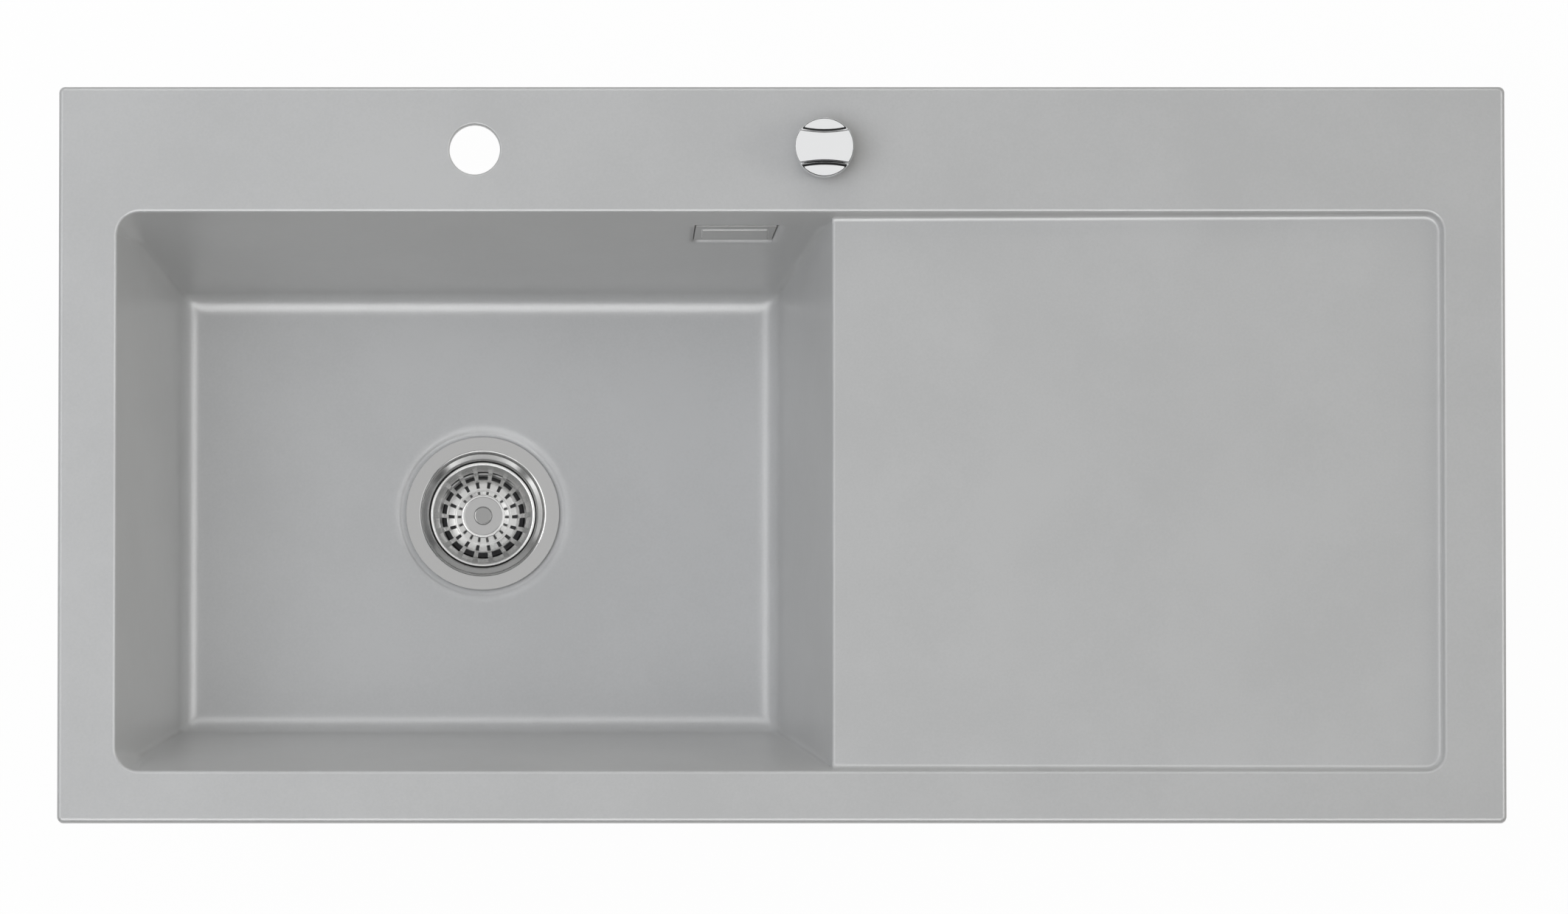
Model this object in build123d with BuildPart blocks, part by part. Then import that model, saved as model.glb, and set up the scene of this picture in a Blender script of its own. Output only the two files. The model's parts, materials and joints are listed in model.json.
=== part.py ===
import math
import os

from build123d import *

# Ceramic sink, millimetres and degrees
sink_width = 1000.0
sink_depth = 510.0
rim_height = 12.0
foot_width = 14.0
foot_height = 1.5
plan_corner = 4.0
edge_round = 3.0
border_left = 40.0
border_right = 42.5
border_back = 87.0
border_front = 35.5
bowl_width = 495.0
bowl_depth = 190.0
bowl_corner = 16.0
floor_round = 15.0
wall_draft = 12.5
wall = 12.0
floor_thickness = 14.0
outer_round = 20.0
drainer_drop_end = 7.0
drainer_drop_bowl = 12.0
drainer_corner = 13.0
drainer_round = 5.0
ridge_round = 3.0
tap_hole_radius = 17.5
control_hole_radius = 16.0
hole_round = 1.5
floor_fall = 2.0
floor_fall_radius = 125.0
waste_offset_x = 1.7
waste_offset_y = 0.7
waste_hole_radius = 45.5
waste_recess_radius = 57.0
waste_recess_depth = 2.5
recess_round = 1.5
cut_over = 5.0
fillet_share = 0.95

# Overflow in the back wall
overflow_from_ridge = 67.6
overflow_drop = 47.6
overflow_width_top = 58.4
overflow_width_bottom = 55.6
overflow_height = 36.8
overflow_skew = 3.5
overflow_recess = 6.0
overflow_slot_width = 46.0
overflow_slot_height = 16.0
overflow_mouth = 5.4
overflow_lip = 0.8
cover_inset = 1.2
cover_thickness = 2.5
cover_gap = 0.6
panel_width = 45.4
panel_height = 19.2
panel_drop = 3.2
panel_round = 0.7
overflow_screw_span = 37.0
overflow_boss_radius = 3.4
overflow_screw_radius = 1.7
screw_head_radius = 3.4
screw_head_height = 2.4
overflow_seal = 2.0
overflow_flange_width = 60.0
overflow_flange_height = 30.0
overflow_flange = 4.0
overflow_corner = 6.0
screw_end_gap = 1.0
neck_outer_radius = 13.0
neck_inner_radius = 10.5
neck_reach = 22.0
head_above = 15.0
head_below = 40.0
head_cap = 3.0

# Overflow pipe and its unions
pipe_radius = 12.5
pipe_wall = 1.8
pipe_bend = 40.0
socket_wall = 3.3
socket_depth = 20.0
union_radius = 20.0
union_sides = 12
union_overlap = 12.0
union_end = 3.0
pipe_seal = 3.0

# Waste set
sheet = 1.0
flange_seal_height = 1.2
flange_radius = 53.5
mouth_radius = 43.2
mouth_bend = 2.0
shelf_radius = 42.5
shelf_drop = 3.4
shelf_bend = 1.2
throat_radius = 38.2
throat_drop = 5.8
throat_bend = 2.0
strainer_radius = 36.5
strainer_drop = 42.0
plate_bend = 6.0
drain_holes = 6
drain_hole_radius = 5.0
drain_pitch_radius = 18.0
under_seal_height = 2.5
housing_flange_radius = 60.0
housing_flange = 4.0
cup_radius = 47.0
cup_wall = 3.0
funnel_height = 14.0
outlet_radius = 23.9
outlet_wall = 3.4
outlet_length = 30.0
boss_radius = 11.0
boss_length = 18.0
rib_thickness = 4.0
rib_count = 4
rib_drop = 4.0
spider_seat = 2.0
spider_ring = 3.0
spigot_height = 3.0
inlet_reach = 30.0
inlet_clear = 2.0
clamp_radius = 6.0
clamp_head_radius = 9.5
clamp_head_height = 3.0
clamp_head_round = 1.0

# Basket
basket_sheet = 0.8
basket_rim_radius = 36.4
basket_wall_radius = 33.9
basket_knee_radius = 31.6
basket_base_radius = 25.0
basket_ring_radius = 18.4
basket_boss_radius = 15.2
basket_sink = 9.5
basket_knee_drop = 19.0
basket_base_drop = 28.0
basket_ring_drop = 30.5
basket_boss_drop = 21.0
basket_rim_bend = 0.8
basket_knee_bend = 4.8
basket_base_bend = 3.2
basket_ring_bend = 1.6
basket_slots = 18
inner_slot_radius = 22.4
inner_slot_length = 4.2
inner_slot_width = 2.4
outer_slot_radius = 28.4
outer_slot_length = 4.8
outer_slot_width = 5.6
slot_corner = 0.6
cap_radius = 13.5
cap_height = 1.2
cap_round = 0.6
button_radius = 6.5
button_height = 2.6
button_round = 1.3
button_shank = 2.5
button_grip = 8.0
plug_radius = 28.0
plug_column_radius = 12.0
plug_height = 4.0
pin_socket_depth = 2.5
seal_inner_radius = 24.5
seal_outer_radius = 29.0

# Lift gear
lift = 9.0
pin_radius = 3.0
pin_below = 1.0
lever_arm = 24.0
pad_radius = 3.0
finger_width = 12.0
finger_hub_radius = 7.5
hub_clear = 4.0
finger_depth = 5.0
shaft_radius = 4.0
shaft_boss_radius = 8.0
shaft_boss_length = 14.0
shaft_boss_inside = 6.0
blind_wall = 3.0
seal_depth = 2.5
seal_width = 2.2
crank_length = 34.0
crank_thickness = 5.0
crank_tip_radius = 5.0
crank_eye_radius = 1.6
crank_screw_radius = 2.0
crank_screw_length = 10.0
bracket_thickness = 4.0
bracket_eye_radius = 12.0
bracket_run = 16.0
lug_length = 8.0
lug_half = 7.0
gland_radius = 3.5
gland_bore = 1.5
gland_head_radius = 5.5
gland_head_length = 6.0
gland_sides = 6

# Control on the deck
knob_from_ridge = 5.5
knob_radius = 20.5
knob_height = 21.5
knob_step = 7.0
knob_lift = 0.5
knob_edge = 0.9
grip_half = 10.0
grip_arc = 78.0
grip_foot = 3.2
grip_edge = 0.9
knob_turn = 90.0
knob_socket = 10.0
grub_radius = 2.0
grub_length = 6.0
grub_height = 7.5
neck_radius = 15.0
rosette_radius = 19.4
rosette_height = 2.5
control_gasket_height = 1.0
control_washer_height = 2.0
control_cup_radius = 24.0
control_cup_wall = 3.0
control_roof = 5.0
control_cup_height = 24.0
drum_cover_height = 2.5
spindle_radius = 5.0
spindle_collar_radius = 7.5
spindle_collar = 2.0
spindle_square = 7.0
drum_height = 10.0
drum_flange_radius = 13.0
drum_flange = 2.0
lug_reach = 18.5
lug_width = 6.0
stop_reach = 4.5
stop_width = 5.0
stop_slack = 2.0
drum_screw_radius = 2.0
drum_screw_grip = 8.0
drum_screw_head = 5.0
drum_screw_head_height = 2.5
cover_screws = 3
cover_screw_radius = 1.5
cover_screw_head = 2.8
cover_screw_head_height = 2.0
cover_screw_grip = 9.0
ear_radius = 4.5
ear_offset = 1.5
ear_height = 12.0
ear_turn = 60.0
lug_turn = 200.0
gland_boss_radius = 6.5
gland_boss_reach = 31.0
gland_grip = 7.0

# Clearances
run_gap = 0.05
seat_gap = 0.3
thread_gap = 0.1
fit_gap = 0.2

# Ceramic levels and walls
lean = math.tan(math.radians(wall_draft))
draft_cos = math.cos(math.radians(wall_draft))
draft_sin = math.sin(math.radians(wall_draft))
side_wall = wall / draft_cos
z_deck = rim_height
z_top = z_deck + cut_over
z_ridge = z_deck - drainer_drop_bowl
z_floor = z_deck - bowl_depth
z_under = z_floor - floor_thickness
recess_left = border_left - sink_width / 2
recess_right = sink_width / 2 - border_right
recess_back = sink_depth / 2 - border_back
recess_front = border_front - sink_depth / 2
ridge_x = recess_left + bowl_width
drainer_slope = (drainer_drop_bowl - drainer_drop_end) / (recess_right - ridge_x)
drainer_side = drainer_drop_end - edge_round * (1 - draft_sin)
drainer_fillet = min(drainer_round, fillet_share * drainer_side / (1 - draft_sin))
hole_y = sink_depth / 2 - border_back / 2
tap_x = (recess_left + ridge_x) / 2
knob_x = ridge_x - knob_from_ridge
waste_x = (recess_left + ridge_x + drainer_drop_bowl * lean) / 2 + waste_offset_x
waste_y = (recess_back + recess_front) / 2 + waste_offset_y
z_seat = z_floor - floor_fall - waste_recess_depth

# Overflow places
overflow_x = ridge_x - overflow_from_ridge
wall_point = (overflow_x, recess_back - overflow_drop * lean, z_deck - overflow_drop)
wall_plane = Plane(origin=wall_point, x_dir=(1, 0, 0), z_dir=(0, -draft_cos, draft_sin))
flange_face = wall + overflow_seal
head_centre = wall_plane.offset(-(flange_face + neck_reach)).origin
socket_radius = pipe_radius + fit_gap
socket_outer = socket_radius + socket_wall
pipe_bore = pipe_radius - pipe_wall
socket_end_z = head_centre.Z - head_below

# Waste levels
waste_xz = Plane(origin=(waste_x, waste_y, 0), x_dir=(1, 0, 0), z_dir=(0, -1, 0))
waste_axis = Axis((waste_x, waste_y, 0), (0, 0, 1))
z_flange = z_seat + flange_seal_height + sheet / 2
z_plate = z_flange - strainer_drop
z_plate_top = z_plate + sheet / 2
z_boss_top = z_plate - sheet / 2
z_boss_bottom = z_boss_top - boss_length
rib_height = boss_length - rib_drop
z_spider_top = z_boss_bottom + rib_height
z_housing = z_under - under_seal_height
z_inlet = z_housing - housing_flange - socket_outer - inlet_clear
z_pin_bottom = z_boss_bottom - lift - pin_below
half_swing = math.asin(lift / 2 / lever_arm)
z_shaft = z_pin_bottom - seat_gap - pad_radius + lift / 2
z_cup = z_shaft - finger_hub_radius - hub_clear
z_funnel = z_cup - funnel_height
z_outlet = z_funnel - outlet_length
cup_outer = cup_radius + cup_wall
inlet_way = Vector(head_centre.X - waste_x, head_centre.Y - waste_y, 0).normalized()
inlet_end = cup_outer + inlet_reach
waste_level = Vector(waste_x, waste_y, z_inlet)
shaft_y = waste_y - lever_arm
shaft_wall = math.sqrt(cup_outer**2 - lever_arm**2)
shaft_inner = math.sqrt(cup_radius**2 - lever_arm**2)
shaft_end = shaft_wall + shaft_boss_length
crank_x = shaft_end + seat_gap
z_crank = z_shaft - crank_length
lug_y = shaft_y + crank_length * math.sin(half_swing) + crank_tip_radius + bracket_run
lug_x = crank_x + crank_thickness / 2

# Control levels
z_rosette = z_deck + control_gasket_height
z_neck = z_rosette + rosette_height
z_knob = z_deck + knob_lift
z_knob_top = z_knob + knob_height
z_knob_seat = z_neck + seat_gap
z_spindle = z_knob_seat + knob_socket
z_cup_top = foot_height - control_washer_height
z_roof = z_cup_top - control_roof
z_cup_end = z_cup_top - control_cup_height
z_drum = z_roof - seat_gap - spindle_collar
z_drum_end = z_drum - drum_height
z_drum_mid = z_drum - drum_height / 2
cable_pull = 2 * crank_length * math.sin(half_swing)
drum_radius = cable_pull / math.radians(knob_turn)
control_bore = control_cup_radius - control_cup_wall
ear_pitch = control_cup_radius + ear_offset


# Inner or outer form of the bowl, with its side walls moved out by a given amount
def bowl_form(top, bottom, out, radius):
    spans = []
    for z in (top, bottom):
        inset = (z_deck - z) * lean - out
        ridge_inset = (z_ridge - z) * lean - out
        sides = (recess_left + inset, ridge_x - ridge_inset)
        spans.append((*sides, recess_front + inset, recess_back - inset))
    left, right, front, back = zip(*spans)
    with BuildPart() as form:
        with BuildSketch(Plane.XZ):
            with BuildLine():
                FilletPolyline(
                    (left[0], top),
                    (left[1], bottom),
                    (right[1], bottom),
                    (right[0], top),
                    radius=[0, radius, radius, 0],
                    close=True,
                )
            make_face()
        extrude(amount=sink_depth, both=True)
        with BuildSketch(Plane.YZ):
            with BuildLine():
                FilletPolyline(
                    (front[0], top),
                    (front[1], bottom),
                    (back[1], bottom),
                    (back[0], top),
                    radius=[0, radius, radius, 0],
                    close=True,
                )
            make_face()
        extrude(amount=sink_width, both=True, mode=Mode.INTERSECT)
    return form.part


# Level of the drainer surface at a given place along the sink
def drainer_level(x):
    return z_ridge + (x - ridge_x) * drainer_slope


# Four corners of the overflow recess, drawn in by side and top gaps
def overflow_corners(side, top):
    half = overflow_height / 2
    shift = overflow_skew / 2
    share = top / overflow_height
    left = (shift - overflow_width_top / 2, -shift - overflow_width_bottom / 2)
    right = (shift + overflow_width_top / 2, -shift + overflow_width_bottom / 2)
    return [
        (left[0] + (left[1] - left[0]) * share + side, half - top),
        (left[1] + side, side - half),
        (right[1] - side, side - half),
        (right[0] + (right[1] - right[0]) * share - side, half - top),
    ]


# Piece that turns a sharp upright corner of a hollow into a round one, fading with depth
def corner_piece(radius, side_x, side_y, edge_x, edge_y):
    depth = radius / lean
    base = radius + cut_over * lean
    facing = {1: Align.MIN, -1: Align.MAX}
    with BuildPart() as piece:
        with Locations((edge_x - side_x * radius, edge_y - side_y * radius, z_deck - depth)):
            Box(
                2 * base,
                2 * base,
                depth + cut_over,
                align=(facing[side_x], facing[side_y], Align.MIN),
            )
            Cone(
                0,
                base,
                depth + cut_over,
                align=(Align.CENTER, Align.CENTER, Align.MIN),
                mode=Mode.SUBTRACT,
            )
    return piece.part


# Hollow of the bowl, with left corners that run from round at the rim to sharp lower down
bowl_inside = bowl_form(z_top, z_floor, 0, floor_round)
bowl_back_corner = corner_piece(bowl_corner, -1, 1, recess_left, recess_back)
bowl_front_corner = corner_piece(bowl_corner, -1, -1, recess_left, recess_front)
with BuildPart() as bowl_hollow:
    add(bowl_inside)
    add([bowl_back_corner, bowl_front_corner], mode=Mode.SUBTRACT)

# Hollow of the drainer, which runs over a rounded ridge into the bowl
z_low = z_ridge - ridge_round - wall
ridge_foot = ridge_x - (z_ridge - z_low) * lean
ridge_left = ridge_foot - wall
side_grow = cut_over * lean
low_inset = (z_deck - z_low) * lean
drainer_end = recess_right - (z_deck - drainer_level(recess_right)) * lean
drainer_back_corner = corner_piece(drainer_corner, 1, 1, recess_right, recess_back)
drainer_front_corner = corner_piece(drainer_corner, 1, -1, recess_right, recess_front)
with BuildPart() as drainer_hollow:
    with BuildSketch(Plane.XZ):
        with BuildLine():
            FilletPolyline(
                (ridge_left, z_top),
                (ridge_left, z_low),
                (ridge_foot, z_low),
                (ridge_x, z_ridge),
                (drainer_end, drainer_level(recess_right)),
                (recess_right + side_grow, z_top),
                radius=[0, 0, 0, ridge_round, 0, 0],
                close=True,
            )
        make_face()
    extrude(amount=sink_depth, both=True)
    with BuildSketch(Plane.YZ):
        with BuildLine():
            Polyline(
                (recess_front - side_grow, z_top),
                (recess_front + low_inset, z_low),
                (recess_back - low_inset, z_low),
                (recess_back + side_grow, z_top),
                close=True,
            )
        make_face()
    extrude(amount=sink_width, both=True, mode=Mode.INTERSECT)
    add([drainer_back_corner, drainer_front_corner], mode=Mode.SUBTRACT)
    facing_down = drainer_hollow.faces().filter_by(lambda f: f.normal_at().Z < 0)
    drainer_base = facing_down.sort_by(SortBy.AREA)[-1]
    base_edges = drainer_base.edges().filter_by(lambda e: e.center().X > ridge_x + ridge_round)
    fillet(base_edges, drainer_fillet)

# Outside of the drainer pan under the deck
foot_x = sink_width - 2 * foot_width
foot_y = sink_depth - 2 * foot_width
z_join = foot_height + wall / 2
pan_left = ridge_x - wall
pan_right = recess_right + side_wall
pan_end = drainer_level(recess_right) - wall
join_inset = (z_deck - z_join) * lean
with BuildPart() as drainer_pan:
    with BuildSketch(Plane.XZ):
        with BuildLine():
            Polyline(
                (pan_left, z_join),
                (pan_left, drainer_level(pan_left) - wall),
                (pan_right - (z_deck - pan_end) * lean, pan_end),
                (pan_right - join_inset, z_join),
                close=True,
            )
        make_face()
    extrude(amount=sink_depth, both=True)
    with BuildSketch(Plane.YZ):
        with BuildLine():
            Polyline(
                (recess_front - side_wall + join_inset, z_join),
                (recess_front - side_wall + low_inset, z_low),
                (recess_back + side_wall - low_inset, z_low),
                (recess_back + side_wall - join_inset, z_join),
                close=True,
            )
        make_face()
    extrude(amount=sink_width, both=True, mode=Mode.INTERSECT)

# Ceramic body
bowl_outside = bowl_form(z_join, z_under, side_wall, outer_round)
with BuildPart() as sink_body:
    with BuildSketch(Plane.XY):
        RectangleRounded(sink_width, sink_depth, plan_corner)
    extrude(amount=rim_height)
    with BuildSketch(Plane.XY):
        Rectangle(foot_x, foot_y)
    extrude(amount=foot_height, mode=Mode.SUBTRACT)
    add([bowl_outside, drainer_pan.part])
    add([bowl_hollow.part, drainer_hollow.part], mode=Mode.SUBTRACT)
    fillet(sink_body.edges().group_by(Axis.Z)[-1], edge_round)
    with BuildSketch(Plane.XY):
        with Locations((tap_x, hole_y)):
            Circle(tap_hole_radius)
        with Locations((knob_x, hole_y)):
            Circle(control_hole_radius)
    extrude(amount=rim_height, mode=Mode.SUBTRACT)
    rim_circles = sink_body.edges().filter_by(GeomType.CIRCLE).group_by(Axis.Z)[-1]
    fillet([e for e in rim_circles if abs(e.arc_center.Y - hole_y) < fit_gap], hole_round)
    with BuildSketch(waste_xz):
        with BuildLine():
            FilletPolyline(
                (0, z_floor + cut_over),
                (0, z_under - cut_over),
                (waste_hole_radius, z_under - cut_over),
                (waste_hole_radius, z_seat),
                (waste_recess_radius, z_seat),
                (waste_recess_radius + recess_round, z_floor - floor_fall),
                (floor_fall_radius, z_floor),
                (floor_fall_radius, z_floor + cut_over),
                radius=[0, 0, 0, recess_round / 2, recess_round / 2, recess_round, 0, 0],
                close=True,
            )
        make_face()
    revolve(axis=waste_axis, mode=Mode.SUBTRACT)
    with BuildSketch(wall_plane.offset(cut_over)):
        with BuildLine():
            FilletPolyline(overflow_corners(0, 0), radius=overflow_lip, close=True)
        make_face()
    extrude(amount=-(overflow_recess + cut_over), mode=Mode.SUBTRACT)
    with BuildSketch(wall_plane):
        SlotOverall(overflow_slot_width, overflow_slot_height)
    extrude(amount=-(wall + cut_over), mode=Mode.SUBTRACT)
    back_wall = sink_body.faces().filter_by(lambda f: wall_plane.contains(f.center()))
    recess_rim = back_wall.sort_by(SortBy.AREA)[-1].inner_wires()[0]
    fillet(recess_rim.edges(), overflow_lip)

# Overflow cover, a plate set in the recess with a raised panel
cover_back = cover_inset + cover_thickness
screw_x = overflow_screw_span / 2
wall_axis = Axis(wall_plane.origin, wall_plane.z_dir)
with BuildPart() as overflow_cover:
    with BuildSketch(wall_plane.offset(-cover_back)):
        with BuildLine():
            FilletPolyline(overflow_corners(cover_gap, overflow_mouth), radius=overflow_lip, close=True)
        make_face()
    extrude(amount=cover_thickness)
    fillet(overflow_cover.faces().sort_by(wall_axis)[-1].edges(), panel_round)
    with BuildSketch(wall_plane.offset(-cover_inset)):
        with Locations((0, -panel_drop)):
            RectangleRounded(panel_width, panel_height, overflow_lip)
    extrude(amount=cover_inset)
    fillet(overflow_cover.faces().sort_by(wall_axis)[-1].edges(), panel_round)
    with BuildSketch(wall_plane.offset(-cover_back)):
        with Locations((-screw_x, 0), (screw_x, 0)):
            Circle(overflow_boss_radius)
    extrude(amount=cover_back - flange_face)
    with BuildSketch(wall_plane.offset(-flange_face)):
        with Locations((-screw_x, 0), (screw_x, 0)):
            Circle(overflow_screw_radius + run_gap)
    extrude(amount=flange_face - cover_back, mode=Mode.SUBTRACT)

# Overflow gasket behind the wall
with BuildPart() as overflow_gasket:
    with BuildSketch(wall_plane.offset(-wall)):
        RectangleRounded(overflow_flange_width, overflow_flange_height, overflow_corner)
        Circle(neck_inner_radius, mode=Mode.SUBTRACT)
        with Locations((-screw_x, 0), (screw_x, 0)):
            Circle(overflow_boss_radius + fit_gap, mode=Mode.SUBTRACT)
    extrude(amount=-overflow_seal)

# Overflow head that turns the water down into the pipe
head_plane = Plane(origin=head_centre, x_dir=(1, 0, 0), z_dir=(0, 0, 1))
socket_top = -(head_below - socket_depth)
with BuildPart() as overflow_head:
    with BuildSketch(wall_plane.offset(-flange_face)):
        RectangleRounded(overflow_flange_width, overflow_flange_height, overflow_corner)
    extrude(amount=-overflow_flange)
    with BuildSketch(wall_plane.offset(-flange_face)):
        Circle(neck_outer_radius)
    extrude(amount=-neck_reach)
    with BuildSketch(head_plane.offset(-head_below)):
        Circle(socket_outer)
    extrude(amount=head_below + head_above)
    with BuildSketch(wall_plane.offset(-flange_face)):
        Circle(neck_inner_radius)
    extrude(amount=-neck_reach, mode=Mode.SUBTRACT)
    with BuildSketch(head_plane.offset(socket_top)):
        Circle(pipe_bore)
    extrude(amount=head_above - head_cap - socket_top, mode=Mode.SUBTRACT)
    with BuildSketch(head_plane.offset(-head_below)):
        Circle(socket_radius)
    extrude(amount=socket_depth, mode=Mode.SUBTRACT)
    with BuildSketch(wall_plane.offset(-flange_face)):
        with Locations((-screw_x, 0), (screw_x, 0)):
            Circle(overflow_screw_radius + run_gap)
    extrude(amount=-overflow_flange, mode=Mode.SUBTRACT)

# Screws that hold the overflow head against the cover bosses
screw_face = flange_face + overflow_flange
overflow_screws = {}
for number, x in enumerate((-screw_x, screw_x), 1):
    with BuildPart() as overflow_screw:
        with BuildSketch(wall_plane.offset(-screw_face)):
            with Locations((x, 0)):
                Circle(screw_head_radius)
        extrude(amount=-screw_head_height)
        with BuildSketch(wall_plane.offset(-screw_face)):
            with Locations((x, 0)):
                Circle(overflow_screw_radius)
        extrude(amount=screw_face - cover_back - screw_end_gap)
    overflow_screws[f"overflow_screw_{number}"] = overflow_screw

# Overflow pipe from the head down and under the bowl to the waste
pipe_top = Vector(head_centre.X, head_centre.Y, head_centre.Z + socket_top - seat_gap)
pipe_turn = Vector(head_centre.X, head_centre.Y, z_inlet)
pipe_stop = waste_level + inlet_way * (inlet_end - socket_depth + seat_gap)
with BuildPart() as overflow_pipe:
    with BuildLine():
        FilletPolyline(pipe_top, pipe_turn, pipe_stop, radius=pipe_bend)
    with BuildSketch(Plane(origin=pipe_top, z_dir=(0, 0, -1))):
        Circle(pipe_radius)
        Circle(pipe_bore, mode=Mode.SUBTRACT)
    sweep()

# Union nuts and seals at both ends of the pipe
upper_union = Plane(origin=(head_centre.X, head_centre.Y, socket_end_z), z_dir=(0, 0, -1))
lower_union = Plane(origin=waste_level + inlet_way * inlet_end, z_dir=inlet_way)
union_parts = {}
for place, plane in (("upper", upper_union), ("lower", lower_union)):
    with BuildPart() as pipe_gasket:
        with BuildSketch(plane):
            Circle(socket_outer - fit_gap)
            Circle(pipe_radius + run_gap, mode=Mode.SUBTRACT)
        extrude(amount=pipe_seal)
    union_parts[f"{place}_pipe_seal"] = pipe_gasket
    with BuildPart() as union_nut:
        with BuildSketch(plane.offset(-union_overlap)):
            RegularPolygon(union_radius, union_sides)
        extrude(amount=union_overlap + pipe_seal + union_end)
        with BuildSketch(plane.offset(-union_overlap)):
            Circle(socket_outer + thread_gap)
        extrude(amount=union_overlap + pipe_seal, mode=Mode.SUBTRACT)
        with BuildSketch(plane):
            Circle(pipe_radius + fit_gap)
        extrude(amount=pipe_seal + union_end, mode=Mode.SUBTRACT)
    union_parts[f"{place}_union_nut"] = union_nut

# Flange seal on the ceramic seat
with BuildPart() as flange_seal:
    with BuildSketch(Plane((waste_x, waste_y, z_seat))):
        Circle(flange_radius - sheet)
        Circle(waste_hole_radius + sheet, mode=Mode.SUBTRACT)
    extrude(amount=flange_seal_height)

# Strainer bowl, pressed from sheet
with BuildPart() as strainer_bowl:
    with BuildSketch(waste_xz):
        with BuildLine():
            FilletPolyline(
                (flange_radius, z_flange),
                (mouth_radius, z_flange),
                (shelf_radius, z_flange - shelf_drop),
                (throat_radius, z_flange - throat_drop),
                (strainer_radius, z_plate),
                (clamp_radius + thread_gap, z_plate),
                radius=[mouth_bend, shelf_bend, throat_bend, plate_bend],
            )
        trace(line_width=sheet)
    revolve(axis=waste_axis)
    with BuildSketch(Plane((waste_x, waste_y, z_plate))):
        with PolarLocations(drain_pitch_radius, drain_holes):
            Circle(drain_hole_radius)
    extrude(amount=sheet, both=True, mode=Mode.SUBTRACT)

# Rubber seal under the ceramic
with BuildPart() as under_seal:
    with BuildSketch(Plane((waste_x, waste_y, z_housing))):
        Circle(housing_flange_radius - 2 * sheet)
        Circle(cup_radius, mode=Mode.SUBTRACT)
    extrude(amount=under_seal_height)

# Waste housing with overflow inlet and bosses for the lift shaft
cup_neck = cup_radius - spider_seat
inlet_plane = Plane(origin=waste_level, z_dir=inlet_way)
shaft_plane = Plane(origin=(waste_x, shaft_y, z_shaft), x_dir=(0, 1, 0), z_dir=(1, 0, 0))
boss_face = shaft_inner - shaft_boss_inside
with BuildPart() as waste_housing:
    with BuildSketch(waste_xz):
        with BuildLine():
            Polyline(
                (cup_neck, z_housing),
                (housing_flange_radius, z_housing),
                (housing_flange_radius, z_housing - housing_flange),
                (cup_outer, z_housing - housing_flange),
                (cup_outer, z_cup),
                (cup_radius, z_cup),
                (cup_radius, z_spider_top),
                (cup_neck, z_spider_top),
                close=True,
            )
        make_face()
    revolve(axis=waste_axis)
    with BuildSketch(inlet_plane.offset(cup_radius)):
        Circle(socket_outer)
    extrude(amount=inlet_end - cup_radius)
    with BuildSketch(shaft_plane.offset(boss_face)):
        Circle(shaft_boss_radius)
    extrude(amount=shaft_end - boss_face)
    with BuildSketch(shaft_plane.offset(-boss_face)):
        Circle(shaft_boss_radius)
    extrude(amount=-(shaft_boss_inside + blind_wall + cup_wall))
    with BuildSketch(inlet_plane.offset(cup_neck - cup_wall)):
        Circle(pipe_bore)
    extrude(amount=inlet_end, mode=Mode.SUBTRACT)
    with BuildSketch(inlet_plane.offset(inlet_end - socket_depth)):
        Circle(socket_radius)
    extrude(amount=socket_depth, mode=Mode.SUBTRACT)
    with BuildSketch(shaft_plane.offset(-boss_face - shaft_boss_inside)):
        Circle(shaft_radius + run_gap)
    extrude(amount=shaft_boss_inside + boss_face + shaft_end, mode=Mode.SUBTRACT)
    with BuildSketch(shaft_plane.offset(shaft_end - seal_depth)):
        Circle(shaft_radius + seal_width)
    extrude(amount=seal_depth, mode=Mode.SUBTRACT)

# Spider that takes the clamp screw, held up under a shoulder in the housing
insert_radius = cup_radius - fit_gap
with BuildPart() as waste_spider:
    with BuildSketch(Plane((waste_x, waste_y, z_boss_bottom))):
        Circle(boss_radius)
    extrude(amount=boss_length)
    with BuildSketch(Plane((waste_x, waste_y, z_boss_bottom))):
        Circle(insert_radius)
        Circle(insert_radius - spider_ring, mode=Mode.SUBTRACT)
        with PolarLocations(0, rib_count // 2, angular_range=180):
            Rectangle(2 * insert_radius - spider_ring, rib_thickness)
    extrude(amount=rib_height)
    with BuildSketch(Plane((waste_x, waste_y, z_boss_bottom))):
        Circle(clamp_radius + thread_gap)
    extrude(amount=boss_length, mode=Mode.SUBTRACT)

# Outlet funnel, with a spigot in the end of the housing
outlet_bore = outlet_radius - outlet_wall
spigot_bore = insert_radius - cup_wall
with BuildPart() as outlet_funnel:
    with BuildSketch(waste_xz):
        with BuildLine():
            Polyline(
                (insert_radius, z_cup + spigot_height),
                (insert_radius, z_cup),
                (cup_outer, z_cup),
                (outlet_radius, z_funnel),
                (outlet_radius, z_outlet),
                (outlet_bore, z_outlet),
                (outlet_bore, z_funnel),
                (spigot_bore, z_cup),
                (spigot_bore, z_cup + spigot_height),
                close=True,
            )
        make_face()
    revolve(axis=waste_axis)

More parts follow.
